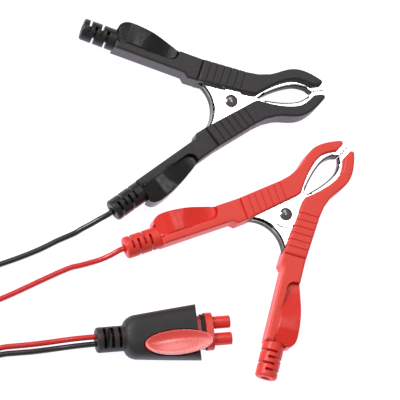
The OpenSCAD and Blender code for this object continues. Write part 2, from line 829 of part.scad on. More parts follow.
// Well for the latch: an oval recess that deepens to the rear, with a slot for the boss
module latch_room() {
    translate([-latch_back, -latch_side, latch_under - latch_drop - part_gap])
        linear_extrude(housing_height) latch_oval(latch_gap);
    translate([-latch_back, -latch_side, latch_pin_height])
        cube([boss_length + 2 * latch_gap, boss_width + 2 * latch_gap, 2 * (boss_below + boss_clear)],
            center = true);
    translate([-latch_back, -latch_side, latch_pin_height]) rotate([90, 0, 0])
        cylinder(h = latch_pin_length, r = latch_pin_radius, center = true);
    translate([-latch_back + latch_spring_place, -latch_side, spring_floor])
        cylinder(h = half_height, r = latch_spring_radius + latch_gap);
}

// Plan of the latch's oval thumb plate
module latch_oval(grow = 0) {
    polygon([for (p = oval_ring(latch_length / 2 + grow, latch_width / 2 + grow, 0)) [p.x, p.y]]);
}

// Rocking latch with a dished thumb plate, a boss on the pin and a hook over the prongs
module plug_latch() {
    color("tomato") at_plug() translate([-latch_back, -latch_side, 0]) difference() {
        union() {
            thumb_plate();
            translate([-boss_length / 2, -boss_width / 2, latch_pin_height - boss_below])
                cube([boss_length, boss_width, latch_under - latch_pin_height + boss_below + seam_overlap]);
            translate([latch_back + hook_back, -boss_width / 2, latch_under - hook_depth])
                cube([hook_length, boss_width, hook_depth + seam_overlap]);
        }
        translate([0, 0, latch_pin_height]) rotate([90, 0, 0])
            cylinder(h = 2 * latch_width, r = latch_pin_radius + latch_play, center = true);
    }
}

// The oval thumb plate: a rounded rim round a shallow dish
module thumb_plate() {
    edge = latch_edge;
    half_long = latch_length / 2;
    half_wide = latch_width / 2;
    skin(concat(
        [oval_ring(half_long - edge, half_wide - edge, latch_under)],
        [oval_ring(half_long, half_wide, latch_under + edge)],
        [oval_ring(half_long, half_wide, latch_top - edge)],
        [oval_ring(half_long - edge / 2, half_wide - edge / 2, latch_top)],
        [for (part = [1, 0.8, 0.5, 0.2])
            oval_ring((half_long - latch_rim) * part, (half_wide - latch_rim) * part,
                latch_top - latch_dish * (1 - part * part))]
    ));
}

function oval_ring(half_long, half_wide, z) = [
    for (i = [0:oval_sides - 1]) let (a = 360 * i / oval_sides) [half_long * cos(a), -half_wide * sin(a), z]
];
oval_sides = 56;
latch_edge = 0.5;

// Steel pin that the latch rocks on
module latch_pin() {
    color("silver") at_plug() translate([-latch_back, -latch_side, latch_pin_height]) rotate([90, 0, 0])
        cylinder(h = latch_pin_length, r = latch_pin_radius, center = true);
}

// Return spring under the latch's tail
module latch_spring() {
    color("silver") at_plug() translate([-latch_back + latch_spring_place, -latch_side, spring_floor])
        difference() {
            cylinder(h = latch_under - spring_floor, r = latch_spring_radius);
            translate([0, 0, -1]) cylinder(h = half_height, r = latch_spring_radius - latch_spring_wall);
        }
}

// Moulded insert with a groove for the seal, a flange and two hollow prongs
module plug_insert() {
    color("red") at_plug() difference() {
        union() {
            stadium(insert_back, seal_centre - seal_section / 2, insert_round);
            stadium(seal_centre - seal_section, seal_centre + seal_section, insert_round - seal_section / 2);
            stadium(insert_reach - flange_length, insert_reach, flange_round);
            for (way = [-1, 1]) translate([0, way * prong_pitch / 2, 0])
                bar_x(insert_reach - flange_length / 2, insert_reach + prong_length, prong_radius);
        }
        for (way = [-1, 1]) translate([0, way * prong_pitch / 2, 0])
            bar_x(insert_back - cut_over, insert_reach + prong_length + cut_over,
                contact_radius + rivet_play);
    }
}

// Rubber ring that seals the insert in the mating socket
module plug_seal() {
    color("black") at_plug() difference() {
        stadium(seal_centre - seal_section / 2, seal_centre + seal_section / 2,
            insert_round + seal_proud);
        stadium(seal_centre - seal_section, seal_centre + seal_section, insert_round - seal_section / 2);
    }
}

socket_depth = 25.2;
wire_cup = 2;

// Turned socket contact, which holds the wire's end behind
module contact(way) {
    front = insert_reach + prong_length - contact_set_back;
    color("goldenrod") at_plug() translate([0, way * prong_pitch / 2, 0]) difference() {
        bar_x(insert_back - contact_back, front, contact_radius);
        bar_x(front - socket_depth, front + cut_over, contact_bore);
        bar_x(insert_back - contact_back - cut_over, insert_back + wire_cup, wire_radius + rivet_play);
    }
}

// The wire's end inside the plug: along the neck, then out to its contact
module plug_wire(way, paint) {
    fan_front = insert_back - contact_back;
    color(paint) at_plug() tube(concat(
        [[neck_back, way * plug_wire_side, 0]],
        [for (t = [0:0.25:1])
            [fan_front - fan_length * (1 - 0.85 * t), way * (plug_wire_side + (prong_pitch / 2 - plug_wire_side) * climb(t)), 0]],
        [[insert_back + 1, way * prong_pitch / 2, 0]]
    ), wire_radius, 8);
}

// ---------- free wires ----------

// Where each wire leaves its clamp's boot and the plug's neck
function clamp_exit(place, turn, side) =
    let (p = handle_point(boot_back, boot_axis))
    let (q = [p.x, side * p.y])
    [place.x + cos(turn) * q.x - sin(turn) * q.y, place.y + sin(turn) * q.x + cos(turn) * q.y, mid_height];

function clamp_heading(turn, side) =
    let (a = 180 - side * handle_angle + turn)
    [cos(a), sin(a), 0];

function plug_exit(way) = [
    plug_place.x + cos(plug_turn) * neck_back - sin(plug_turn) * way * plug_wire_side,
    plug_place.y + sin(plug_turn) * neck_back + cos(plug_turn) * way * plug_wire_side,
    half_height
];
plug_heading = [-cos(plug_turn), -sin(plug_turn), 0];

// The coil's turns run clockwise, spiral in on the lower layer and out on the upper one
coil_place = [-142.3, -67.43];
coil_in = 301;
black_turns = 911;
red_turns = 946;
coil_half = black_turns / 2;
coil_floor = wire_radius + tie_band;
wind_step = 15;

function climb(t) = let (s = min(1, max(0, t))) s * s * (3 - 2 * s);

function coil_point(a, inwards) =
    let (r = coil_radius - inwards - 2 * coil_pitch * (coil_half - abs(a - coil_half)) / 360)
    [coil_place.x + r * cos(coil_in - a), coil_place.y + r * sin(coil_in - a),
        coil_floor + coil_rise * climb((a - coil_half + 90) / 180)];

function coil_route(turns, inwards) =
    let (count = round(turns / wind_step))
    let (winding = [for (i = [0:count]) coil_point(turns * i / count, inwards)])
    let (enter = unit([sin(coil_in), -cos(coil_in), 0]))
    let (leave = unit([sin(coil_in - turns), -cos(coil_in - turns), 0]))
    concat([winding[0] - enter * wire_diameter], winding, [winding[count] + leave * wire_diameter]);

black_coil_route = coil_route(black_turns, 0);
red_coil_route = coil_route(red_turns, coil_pitch);

// Free stretches between the boots, the coil and the plug, on the floor
black_lead_points = [[-60.2, -9.93, 6.2], [-64.2, -12.03, 4.6], [-68.3, -13.93, 3.1],
    [-72.4, -16.13, 2], [-80.3, -19.43, 1.4], [-89.2, -23.73, 1.4], [-99.8, -27.93, 1.4],
    [-110.3, -31.53, 1.4], [-119.3, -34.63, 1.4], [-127.9, -38.03, 1.9], [-135.9, -41.43, 3.4]];
red_lead_points = [[-55.1, -27.53, 6], [-59.7, -29.33, 4.4], [-64.7, -30.63, 3], [-69.9, -31.83, 2],
    [-75.2, -33.03, 1.4], [-85.7, -37.53, 1.4], [-98.4, -43.33, 1.4], [-106.3, -46.83, 1.4],
    [-113.9, -49.63, 1.4], [-120.7, -50.63, 1.6], [-127.3, -50.63, 3.2]];
black_tail_points = [[-74.5, -72.23, 6.4], [-81.5, -72.73, 4.2], [-88.5, -73.33, 2.4],
    [-95.5, -73.93, 1.4], [-102.5, -74.43, 1.4], [-109.5, -75.13, 1.4], [-116.3, -77.43, 1.5]];
red_tail_points = [[-74.5, -68.63, 6.4], [-81.5, -69.13, 4.2], [-88.5, -69.73, 2.4],
    [-95.5, -70.33, 1.4], [-102.5, -70.93, 1.4], [-109.5, -71.73, 1.4], [-116.5, -74.43, 1.5]];

black_exit = clamp_exit(black_place, black_turn, wired);
red_exit = clamp_exit(red_place, red_turn, -wired);

black_lead_route = concat(
    [black_exit, black_exit + clamp_heading(black_turn, wired) * wire_diameter],
    black_lead_points,
    [black_coil_route[len(black_coil_route) - 1]]
);
red_lead_route = concat(
    [red_exit, red_exit + clamp_heading(red_turn, -wired) * wire_diameter],
    red_lead_points,
    [red_coil_route[len(red_coil_route) - 1]]
);
black_tail_route = concat(
    [plug_exit(-1), plug_exit(-1) + plug_heading * wire_diameter], black_tail_points, [black_coil_route[0]]
);
red_tail_route = concat(
    [plug_exit(1), plug_exit(1) + plug_heading * wire_diameter], red_tail_points, [red_coil_route[0]]
);

// Least gap between a tube's skin and itself, for points that lie over a third of a turn apart
function self_gap(route) = min([
    for (i = [0:len(route) - 1], j = [i + 8:1:len(route) - 1]) norm(route[i] - route[j])
]) - wire_diameter;
function pair_gap(one, other) = min([for (p = one, q = other) norm(p - q)]) - wire_diameter;
echo(black_coil_gap = self_gap(black_coil_route), red_coil_gap = self_gap(red_coil_route));
echo(gap_between_the_wires = pair_gap(black_coil_route, red_coil_route));
echo(black_wire = route_length(black_lead_route) + route_length(black_coil_route)
    + route_length(black_tail_route));
echo(red_wire = route_length(red_lead_route) + route_length(red_coil_route)
    + route_length(red_tail_route));

// A free stretch of wire
module free_wire(route, paint) {
    color(paint) tube(route, wire_radius, 8);
}

// A wire's turns in the coil
module wound_wire(route, paint) {
    color(paint) tube(route, wire_radius, 6);
}

// Plastic tie round the coil's far side
tie_play = 0.3;
tie_corner = 1.6;
tie_head = [3, 4.6, 4];
tie_inner = coil_radius - coil_pitch - 2 * coil_pitch * coil_half / 360 - wire_radius - tie_play;
tie_outer = coil_radius + wire_radius + tie_play;
tie_top = coil_floor + coil_rise + wire_radius + tie_play + tie_band;
module cable_tie() {
    length = tie_outer - tie_inner + 2 * tie_band;
    color("white") translate([coil_place.x, coil_place.y, 0]) rotate(180) {
        translate([tie_inner - tie_band, tie_width / 2, 0]) rotate([90, 0, 0]) linear_extrude(tie_width)
            difference() {
                soft_rectangle(length, tie_top, tie_corner);
                translate([tie_band, tie_band])
                    soft_rectangle(length - 2 * tie_band, tie_top - 2 * tie_band, tie_corner - tie_band);
            }
        translate([tie_outer + tie_band - seam_overlap, -tie_head.y / 2, tie_top - tie_head.z - 1])
            cube(tie_head);
    }
}

// A rectangle from the origin with round corners
module soft_rectangle(length, height, corner) {
    translate([corner, 0]) square([length - 2 * corner, height]);
    translate([0, corner]) square([length, height - 2 * corner]);
    for (x = [corner, length - corner], y = [corner, height - corner]) translate([x, y]) circle(corner);
}

// ---------- nodes ----------

at_clamp(black_place, black_turn) jaw(wired);  // black_wired_jaw
at_clamp(black_place, black_turn) jaw(moving);  // black_moving_jaw
at_clamp(black_place, black_turn) cover(wired, [0.25, 0.24, 0.24]);  // black_wired_cover
at_clamp(black_place, black_turn) cover(moving, [0.25, 0.24, 0.24]);  // black_moving_cover
at_clamp(black_place, black_turn) handle(wired, [0.2, 0.19, 0.19]);  // black_wired_handle
at_clamp(black_place, black_turn) handle(moving, [0.2, 0.19, 0.19]);  // black_moving_handle
at_clamp(black_place, black_turn) boot(wired, [0.2, 0.2, 0.2]);  // black_wired_boot
at_clamp(black_place, black_turn) boot(moving, [0.2, 0.2, 0.2]);  // black_spare_boot
at_clamp(black_place, black_turn) leaf_spring();  // black_leaf_spring
at_clamp(black_place, black_turn) rivet();  // black_rivet
at_clamp(black_place, black_turn) crimp();  // black_crimp
at_clamp(black_place, black_turn) clamp_wire([0.15, 0.15, 0.15]);  // black_clamp_wire

// The red clamp is the same assembly, turned over, so its wired arm lies on the other side
at_clamp(red_place, red_turn) on_side(-1) jaw(wired);  // red_wired_jaw
at_clamp(red_place, red_turn) on_side(-1) jaw(moving);  // red_moving_jaw
at_clamp(red_place, red_turn) on_side(-1) cover(wired, "tomato");  // red_wired_cover
at_clamp(red_place, red_turn) on_side(-1) cover(moving, "tomato");  // red_moving_cover
at_clamp(red_place, red_turn) on_side(-1) handle(wired, [0.86, 0.2, 0.16]);  // red_wired_handle
at_clamp(red_place, red_turn) on_side(-1) handle(moving, [0.86, 0.2, 0.16]);  // red_moving_handle
at_clamp(red_place, red_turn) on_side(-1) boot(wired, [0.86, 0.2, 0.16]);  // red_wired_boot
at_clamp(red_place, red_turn) on_side(-1) boot(moving, [0.86, 0.2, 0.16]);  // red_spare_boot
at_clamp(red_place, red_turn) leaf_spring();  // red_leaf_spring
at_clamp(red_place, red_turn) rivet();  // red_rivet
at_clamp(red_place, red_turn) on_side(-1) crimp();  // red_crimp
at_clamp(red_place, red_turn) on_side(-1) clamp_wire([0.8, 0.1, 0.1]);  // red_clamp_wire

plug_housing();
plug_insert();
plug_seal();
contact(1);  // red_contact
contact(-1);  // black_contact
plug_latch();
latch_pin();
latch_spring();
plug_wire(1, [0.8, 0.1, 0.1]);  // red_plug_wire
plug_wire(-1, [0.15, 0.15, 0.15]);  // black_plug_wire

free_wire(black_lead_route, [0.15, 0.15, 0.15]);  // black_lead
wound_wire(black_coil_route, [0.15, 0.15, 0.15]);  // black_coil
free_wire(black_tail_route, [0.15, 0.15, 0.15]);  // black_tail
free_wire(red_lead_route, [0.8, 0.1, 0.1]);  // red_lead
wound_wire(red_coil_route, [0.8, 0.1, 0.1]);  // red_coil
free_wire(red_tail_route, [0.8, 0.1, 0.1]);  // red_tail
cable_tie();
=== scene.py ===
import math

import bmesh
import bpy
from mathutils import Matrix, Vector


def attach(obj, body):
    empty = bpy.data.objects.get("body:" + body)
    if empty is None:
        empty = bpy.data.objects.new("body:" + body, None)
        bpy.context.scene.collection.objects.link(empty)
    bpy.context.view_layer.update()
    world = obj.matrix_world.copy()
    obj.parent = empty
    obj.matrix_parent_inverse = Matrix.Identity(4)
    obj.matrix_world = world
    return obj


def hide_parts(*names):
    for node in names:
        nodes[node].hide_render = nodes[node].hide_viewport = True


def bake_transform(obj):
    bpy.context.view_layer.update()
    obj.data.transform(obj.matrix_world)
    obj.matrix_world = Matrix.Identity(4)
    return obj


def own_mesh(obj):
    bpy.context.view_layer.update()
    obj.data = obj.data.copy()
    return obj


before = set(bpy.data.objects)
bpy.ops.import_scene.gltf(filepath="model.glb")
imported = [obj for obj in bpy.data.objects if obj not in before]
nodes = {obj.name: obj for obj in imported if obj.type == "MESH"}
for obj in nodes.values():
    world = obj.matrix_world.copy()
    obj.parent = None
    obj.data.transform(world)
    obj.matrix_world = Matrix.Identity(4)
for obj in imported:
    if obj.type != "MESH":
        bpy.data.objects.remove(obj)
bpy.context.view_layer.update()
mm = 0.001


# ---------- camera ----------
# A long lens looks down on the leads from far away, a little from the front and the
# left, so that the flat pieces keep their true outlines.
aim = Vector((-8.7, 1.07, 0)) * mm
towards = Vector((-0.2045, -0.2204, 0.9537)).normalized()
rough_up = Vector((0, 0.974, 0.225))
right = rough_up.cross(towards).normalized()
up = towards.cross(right)
view_width = 195.4 * mm
far_away = 1.8
sensor = 36

camera = bpy.data.objects.new("camera", bpy.data.cameras.new("camera"))
bpy.context.scene.collection.objects.link(camera)
camera.data.sensor_width = sensor
camera.data.lens = sensor * far_away / view_width
camera.data.clip_end = 20
facing = Matrix((right, up, towards)).transposed().to_4x4()
camera.matrix_world = Matrix.Translation(aim + towards * far_away) @ facing
bpy.context.scene.camera = camera


# ---------- the two leads ----------
# Single-core PVC wires, 2.8 mm thick. Each runs from its clamp's boot over the table to
# one tied coil of spare length, and from there to the plug's neck.
wire_radius = 1.4
wire = 2 * wire_radius
clamp_height = 7.25
handle_angle = math.radians(27.5)
boot_back = 80.5
boot_axis = 10.15
black_place, black_turn = Vector((6.68, 47.96)), math.radians(7.2)
red_place, red_turn = Vector((31.12, -8.82)), math.radians(45.9)
plug_place, plug_turn = Vector((-15.2, -66.33)), math.radians(4.1)
plug_height = 8.2
neck_back = -49.6
plug_wire_side = 1.75


def placed(place, turn, x, y, z):
    """A point given in the frame of a clamp or of the plug, in the common frame."""
    return Vector((place.x + math.cos(turn) * x - math.sin(turn) * y,
                   place.y + math.sin(turn) * x + math.cos(turn) * y, z))


def boot_point(place, turn, side, back):
    """A point on the axis of a handle's boot, so far back from the rivet."""
    x = -math.cos(handle_angle) * back + math.sin(handle_angle) * boot_axis
    y = math.sin(handle_angle) * back + math.cos(handle_angle) * boot_axis
    return placed(place, turn, x, side * y, clamp_height)


coil_middle = Vector((-142.3, -67.43))
coil_radius, coil_pitch, coil_rise, coil_floor = 21.5, 3.1, 3.3, 2.2
coil_in = 301
coil_step = 5
black_wound, red_wound = 911, 946
coil_half = black_wound / 2


def climb(t):
    """A smooth step from 0 to 1."""
    t = min(1, max(0, t))
    return t * t * (3 - 2 * t)


def coil_point(angle, inwards):
    """A point of the coil: it winds inwards in the lower layer and out again in the upper."""
    r = coil_radius - inwards - 2 * coil_pitch * (coil_half - abs(angle - coil_half)) / 360
    a = math.radians(coil_in - angle)
    return Vector((coil_middle.x + r * math.cos(a), coil_middle.y + r * math.sin(a),
                   coil_floor + coil_rise * climb((angle - coil_half + 90) / 180)))


def coil_route(wound, inwards):
    """The turns of one wire, so many degrees in all, with a straight lead-in at each end."""
    count = round(wound / coil_step)
    winding = [coil_point(wound * i / count, inwards) for i in range(count + 1)]
    a_in, a_out = math.radians(coil_in), math.radians(coil_in - wound)
    enter = Vector((math.sin(a_in), -math.cos(a_in), 0))
    leave = Vector((math.sin(a_out), -math.cos(a_out), 0))
    return [winding[0] - enter * wire] + winding + [winding[-1] + leave * wire]


def eased(points, steps=5):
    """A smooth line through the points of a free stretch."""
    line = []
    for i in range(len(points) - 1):
        before = points[max(i - 1, 0)]
        a, b = points[i], points[i + 1]
        after = points[min(i + 2, len(points) - 1)]
        for k in range(steps):
            t = k / steps
            line.append(0.5 * (2 * a + (b - before) * t
                               + (2 * before - 5 * a + 4 * b - after) * t ** 2
                               + (3 * a - before - 3 * b + after) * t ** 3))
    return line + [points[-1]]


def lead_route(place, turn, side, out_points, coil, tail_points, plug_side):
    """The whole wire: straight out of the boot, over the table, round the coil, to the plug."""
    start = boot_point(place, turn, side, boot_back)
    along = (boot_point(place, turn, side, 2) - boot_point(place, turn, side, 1)).normalized()
    plug_exit = placed(plug_place, plug_turn, neck_back, plug_side * plug_wire_side, plug_height)
    plug_back = Vector((-math.cos(plug_turn), -math.sin(plug_turn), 0))
    out = [start, start + along * wire] + [Vector(p) for p in out_points] + [coil[-1]]
    tail = [Vector(p) for p in reversed(tail_points)]
    back = [coil[0]] + tail + [plug_exit + plug_back * wire, plug_exit]
    return eased(out) + coil[-2:0:-1] + eased(back)


black_route = lead_route(
    black_place, black_turn, -1,
    [(-60.2, -9.93, 6.2), (-64.2, -12.03, 4.6), (-68.3, -13.93, 3.1), (-72.4, -16.13, 2),
     (-80.3, -19.43, 1.4), (-89.2, -23.73, 1.4), (-99.8, -27.93, 1.4), (-110.3, -31.53, 1.4),
     (-119.3, -34.63, 1.4), (-127.9, -38.03, 1.9), (-135.9, -41.43, 3.4)],
    coil_route(black_wound, 0),
    [(-74.5, -72.23, 6.4), (-81.5, -72.73, 4.2), (-88.5, -73.33, 2.4), (-95.5, -73.93, 1.4),
     (-102.5, -74.43, 1.4), (-109.5, -75.13, 1.4), (-116.3, -77.43, 1.5)], -1)
red_route = lead_route(
    red_place, red_turn, 1,
    [(-55.1, -27.53, 6), (-59.7, -29.33, 4.4), (-64.7, -30.63, 3), (-69.9, -31.83, 2),
     (-75.2, -33.03, 1.4), (-85.7, -37.53, 1.4), (-98.4, -43.33, 1.4), (-106.3, -46.83, 1.4),
     (-113.9, -49.63, 1.4), (-120.7, -50.63, 1.6), (-127.3, -50.63, 3.2)],
    coil_route(red_wound, coil_pitch),
    [(-74.5, -68.63, 6.4), (-81.5, -69.13, 4.2), (-88.5, -69.73, 2.4), (-95.5, -70.33, 1.4),
     (-102.5, -70.93, 1.4), (-109.5, -71.73, 1.4), (-116.5, -74.43, 1.5)], 1)


def linear(hex_colour):
    """An sRGB hex colour as the linear numbers that a shader takes."""
    parts = [int(hex_colour[i:i + 2], 16) / 255 for i in (1, 3, 5)]
    return tuple(c / 12.92 if c <= 0.04045 else ((c + 0.055) / 1.055) ** 2.4
                 for c in parts) + (1.0,)


def add(material, kind, values=None, links=None, **settings):
    """Adds one node to a material: its settings, its sockets' values and what feeds them."""
    tree = material.node_tree
    node = tree.nodes.new(kind)
    for name, value in settings.items():
        setattr(node, name, value)
    for socket, value in (values or {}).items():
        node.inputs[socket].default_value = value
    for socket, source in (links or {}).items():
        tree.links.new(source, node.inputs[socket])
    return node


def finish(name, tint, rough=None, bump=None, stretch=(1, 1, 1), **shader):
    """A whole material. Noise on Object coordinates, as large as given in millimetres, lets the
    tint (size, dark, light) and the roughness (size, low, high) wander and raises the bump
    (size, height, radius of the softened edges). Stretch draws out the roughness's noise, and
    the other names are plain sockets of the shader. Nearly all of the noise lies between 0.3
    and 0.7, so the roughness is spread over that."""
    material = bpy.data.materials.new(name)
    material.use_nodes = True
    material.node_tree.nodes.clear()
    place = add(material, "ShaderNodeTexCoord").outputs["Object"]
    noise = {}
    for use, wanted, scale in (("tint", tint, (1, 1, 1)), ("rough", rough, stretch),
                               ("bump", bump, (1, 1, 1))):
        if wanted:
            mapped = add(material, "ShaderNodeMapping", {"Scale": scale}, {"Vector": place})
            noise[use] = add(material, "ShaderNodeTexNoise",
                             {"Scale": 1 / (wanted[0] * mm), "Detail": 2.0},
                             {"Vector": mapped.outputs[0]}).outputs["Fac"]
    mixed = add(material, "ShaderNodeMix", {"A": linear(tint[1]), "B": linear(tint[2])},
                {"Factor": noise["tint"]}, data_type="RGBA")
    sources = {"Base Color": mixed.outputs["Result"]}
    if rough:
        sources["Roughness"] = add(
            material, "ShaderNodeMapRange",
            {"From Min": 0.3, "From Max": 0.7, "To Min": rough[1], "To Max": rough[2]},
            {"Value": noise["rough"]}).outputs[0]
    if bump:
        relief = {"Height": noise["bump"]}
        if bump[2]:
            relief["Normal"] = add(material, "ShaderNodeBevel", {"Radius": bump[2] * mm},
                                   samples=6).outputs[0]
        sources["Normal"] = add(material, "ShaderNodeBump",
                                {"Distance": bump[1] * mm, "Strength": 1.0}, relief).outputs[0]
    surface = add(material, "ShaderNodeBsdfPrincipled",
                  {socket.replace("_", " "): value for socket, value in shader.items()}, sources)
    add(material, "ShaderNodeOutputMaterial", links={"Surface": surface.outputs[0]})
    return material


# Flexible PVC, drawn through a hot die: smooth and glossy, with a thin bright line along the
# wire and faint streaks. The streaks are drawn 12 mm long, as finer ones wouldn't show.
jacket_pvc = {
    colour: finish(f"extruded_pvc_{colour}", tint=(12, dark, light), rough=(12, 0.28, 0.36),
                   IOR=1.5, Coat_Weight=0.5, Coat_Roughness=0.1)
    for colour, dark, light in (("black", "#131213", "#1A191A"), ("red", "#D32018", "#DC2920"))}


def ready(piece, body, slot, material, *stands_for):
    """Gives a piece its body, its finish and the solids that it stands for. The slot is not used.
    """
    piece.data.materials.clear()
    piece.data.materials.append(material)
    if body:
        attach(piece, body)
    if stands_for:
        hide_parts(*stands_for)
    return piece


def dress(material, *names):
    """A CAD node whose shape is right keeps its mesh and takes a better material."""
    for name in names:
        nodes[name].data.materials.clear()
        nodes[name].data.materials.append(material)


for colour, route in (("black", black_route), ("red", red_route)):
    curve = bpy.data.curves.new(f"{colour}_wire_jacket", "CURVE")
    curve.dimensions = "3D"
    curve.bevel_depth = wire_radius * mm
    curve.bevel_resolution = 5
    curve.use_fill_caps = True
    line = curve.splines.new("POLY")
    line.points.add(len(route) - 1)
    for point, p in zip(line.points, route):
        point.co = (*(p * mm), 1)
    jacket = bpy.data.objects.new(f"{colour}_wire_jacket", curve)
    bpy.context.scene.collection.objects.link(jacket)
    ready(jacket, "lead_set", f"{colour}_wire", jacket_pvc[colour],
          f"{colour}_lead", f"{colour}_coil", f"{colour}_tail")
    # The wire's ends go on inside the boot and the plug's neck.
    dress(jacket_pvc[colour], f"{colour}_clamp_wire", f"{colour}_plug_wire")


# ---------- cable tie ----------
# One natural nylon tie, pulled tight round both coils, with its head on the outside. Bare
# nylon is milky: light sinks in a little, and the gloss is soft.
nylon = finish("moulded_nylon_natural", tint=(3, "#D2D0C8", "#E0DED6"), rough=(1, 0.35, 0.5),
               bump=(0.4, 0.02, 0.25), IOR=1.53, Subsurface_Weight=0.15,
               Subsurface_Scale=1 * mm)
dress(nylon, "cable_tie")


# ---------- plug housing ----------
# One ABS moulding with a fine matt grain: a slotted neck, rounded shoulders and an open,
# slanted mouth. A well in its back takes the latch.
merge_gap = 0.002


def made(solid, name):
    """A finished bmesh as an object at the origin."""
    mesh = bpy.data.meshes.new(name)
    solid.to_mesh(mesh)
    solid.free()
    piece = bpy.data.objects.new(name, mesh)
    bpy.context.scene.collection.objects.link(piece)
    return piece


def smoothed(node, name, body, slot, material, sharp=35, carve=None, own_frame=None):
    """A merged copy of a solid, with round faces shaded round and edges kept sharp. It can be
    carved first, in its own frame and in millimetres."""
    solid = bmesh.new()
    solid.from_mesh(nodes[node].data)
    bmesh.ops.remove_doubles(solid, verts=solid.verts, dist=merge_gap * mm)
    bmesh.ops.dissolve_degenerate(solid, edges=solid.edges, dist=merge_gap * mm)
    if carve:
        bmesh.ops.transform(solid, matrix=own_frame.inverted(), verts=solid.verts)
        carve(solid)
        bmesh.ops.transform(solid, matrix=own_frame, verts=solid.verts)
    for face in solid.faces:
        face.smooth = True
    for edge in solid.edges:
        edge.smooth = (len(edge.link_faces) == 2
                       and edge.calc_face_angle(math.pi) < math.radians(sharp))
    piece = made(solid, name)
    flats = piece.modifiers.new("flats", "WEIGHTED_NORMAL")
    flats.keep_sharp = True
    return ready(piece, body, slot, material, node)


def moulded(name, dark, light, grain, rough, edge, depth=0.03):
    """Injection-moulded plastic: an even tint, a grain from the tool and soft edges. A real
    tool's grain is finer and wouldn't show, so it is drawn as coarse as given."""
    return finish(name, tint=(6, dark, light), rough=(grain * 2, rough - 0.05, rough + 0.06),
                  bump=(grain, depth, edge), IOR=1.5, Specular_IOR_Level=0.42)


# ABS from a spark-eroded tool: nearly black, and so matt that no lamp shows in it.
grained_abs = moulded("moulded_abs_grained", "#2A2828", "#312F2F", grain=0.5, rough=0.5, edge=0.5)
smoothed("plug_housing", "plug_shell", "lead_set", "plug_shell", grained_abs, sharp=32)


# ---------- plug insert, seal and contacts ----------
# A glossy red polypropylene moulding that is pressed into the housing, with a flange and
# two hollow prongs. A rubber ring seals it, and a turned brass socket lines each prong.

# Polypropylene from a polished tool: a clear red with small, bright reflections.
gloss_red = moulded("moulded_polypropylene_red", "#E6342A", "#EC3E34",
                    grain=1.5, rough=0.24, edge=0.5, depth=0.01)
smoothed("plug_insert", "prong_insert", "lead_set", "plug_insert", gloss_red)

# Nitrile rubber: black and dull.
seal_rubber = moulded("moulded_nitrile_rubber", "#1C1B1B", "#232222",
                      grain=0.5, rough=0.5, edge=0.2)
smoothed("plug_seal", "seal_ring", "lead_set", "seal_rubber", seal_rubber)

# Brass from the lathe: a warm metal whose gloss is broken by fine streaks along the bore.
brass = finish("turned_brass", tint=(1.5, "#B08A45", "#C9A45C"), rough=(0.3, 0.25, 0.4),
               stretch=(0.2, 1, 1), Metallic=1.0)
dress(brass, "red_contact", "black_contact")


# ---------- plug latch ----------
# A glossy thumb plate that rocks on a steel pin in the housing's well. Its dished oval
# lies almost flush, and its rear end is pressed to lift the hook over the prongs.
latch_back, latch_side, latch_top = 10.9, 5.3, 9.1
dish_long, dish_wide, dish_rings = 15.75, 4.95, 12
dish_depth, dish_lean, dish_tilt = 0.8, -0.5, 0.6
rim_part = 0.98
shallow_depth = 1


def frame_at(place, turn, x, y, z):
    """The frame, in millimetres, of a piece that lies flat and is turned about the vertical."""
    return (Matrix.Translation(placed(place, turn, x, y, z) * mm)
            @ Matrix.Rotation(turn, 4, "Z") @ Matrix.Scale(mm, 4))


def in_order(solid):
    """Extrude and spin add their faces in an order left to chance; this lists them by place."""
    across = Vector((1, 3.7, 13.1))
    solid.faces.sort(key=lambda face: across.dot(face.calc_center_median()))


def press_dish(solid):
    """Lays a dish inside the plate's rim in fine rings. It is deepest towards the rear and the
    inner side."""
    shallow = [vert for vert in solid.verts if vert.co.z > latch_top - shallow_depth
               and math.hypot(vert.co.x / dish_long, vert.co.y / dish_wide) < rim_part]
    bmesh.ops.delete(solid, geom=shallow, context="VERTS")
    ring = [edge for edge in solid.edges if edge.is_boundary]
    for step in range(1, dish_rings):
        part, last = 1 - step / dish_rings, 1 - (step - 1) / dish_rings
        grown = bmesh.ops.extrude_edge_only(solid, edges=ring)["geom"]
        ring = [item for item in grown if isinstance(item, bmesh.types.BMEdge)]
        for vert in {vert for edge in ring for vert in edge.verts}:
            vert.co.x *= part / last
            vert.co.y *= part / last
            depth = (dish_depth + dish_lean * vert.co.x / dish_long
                     + dish_tilt * vert.co.y / dish_wide)
            vert.co.z = latch_top - depth * (1 - part ** 2)
    bmesh.ops.contextual_create(solid, geom=ring)
    bmesh.ops.recalc_face_normals(solid, faces=solid.faces)
    in_order(solid)


# Acetal from a polished tool: a waxy red skin in which a lamp spreads into a broad pink glow.
latch_red = finish("moulded_pom_red", tint=(9, "#F03327", "#F43C30"), rough=(9, 0.24, 0.28),
                   bump=(9, 0.004, 0), IOR=1.5, Specular_IOR_Level=0.8,
                   Coat_Weight=1.0, Coat_Roughness=0.22, Coat_IOR=1.8)
smoothed("plug_latch", "thumb_latch", "latch", "latch_plastic", latch_red, carve=press_dish,
         own_frame=frame_at(plug_place, plug_turn, -latch_back, -latch_side, plug_height))


# ---------- jaws ----------
# Bent from 1.2 mm sheet steel and chromium plated. The moving jaw nests inside the wired
# one, both turn on the rivet, and the noses are cut with small teeth.
bend_from, bend_to, bend_radius, bend_segments = 13.5, 40.5, 1.1, 5
upright_wall, bent_wall, flat_cheek = 0.3, 0.75, 0.9


def polished(name, dark, light, smooth, rough, size, **shader):
    """Bare or plated metal: a clean mirror with faint clouds and soft edges."""
    return finish(name, tint=(size, dark, light), rough=(size / 3, smooth, rough),
                  bump=(size, 0.015, 0.2), Metallic=1.0, **shader)


# Bright chromium: a cool white mirror that takes on the lamps and the pale table.
chrome = polished("plated_chromium", "#E4E5E8", "#F2F3F5", smooth=0.07, rough=0.13, size=4)
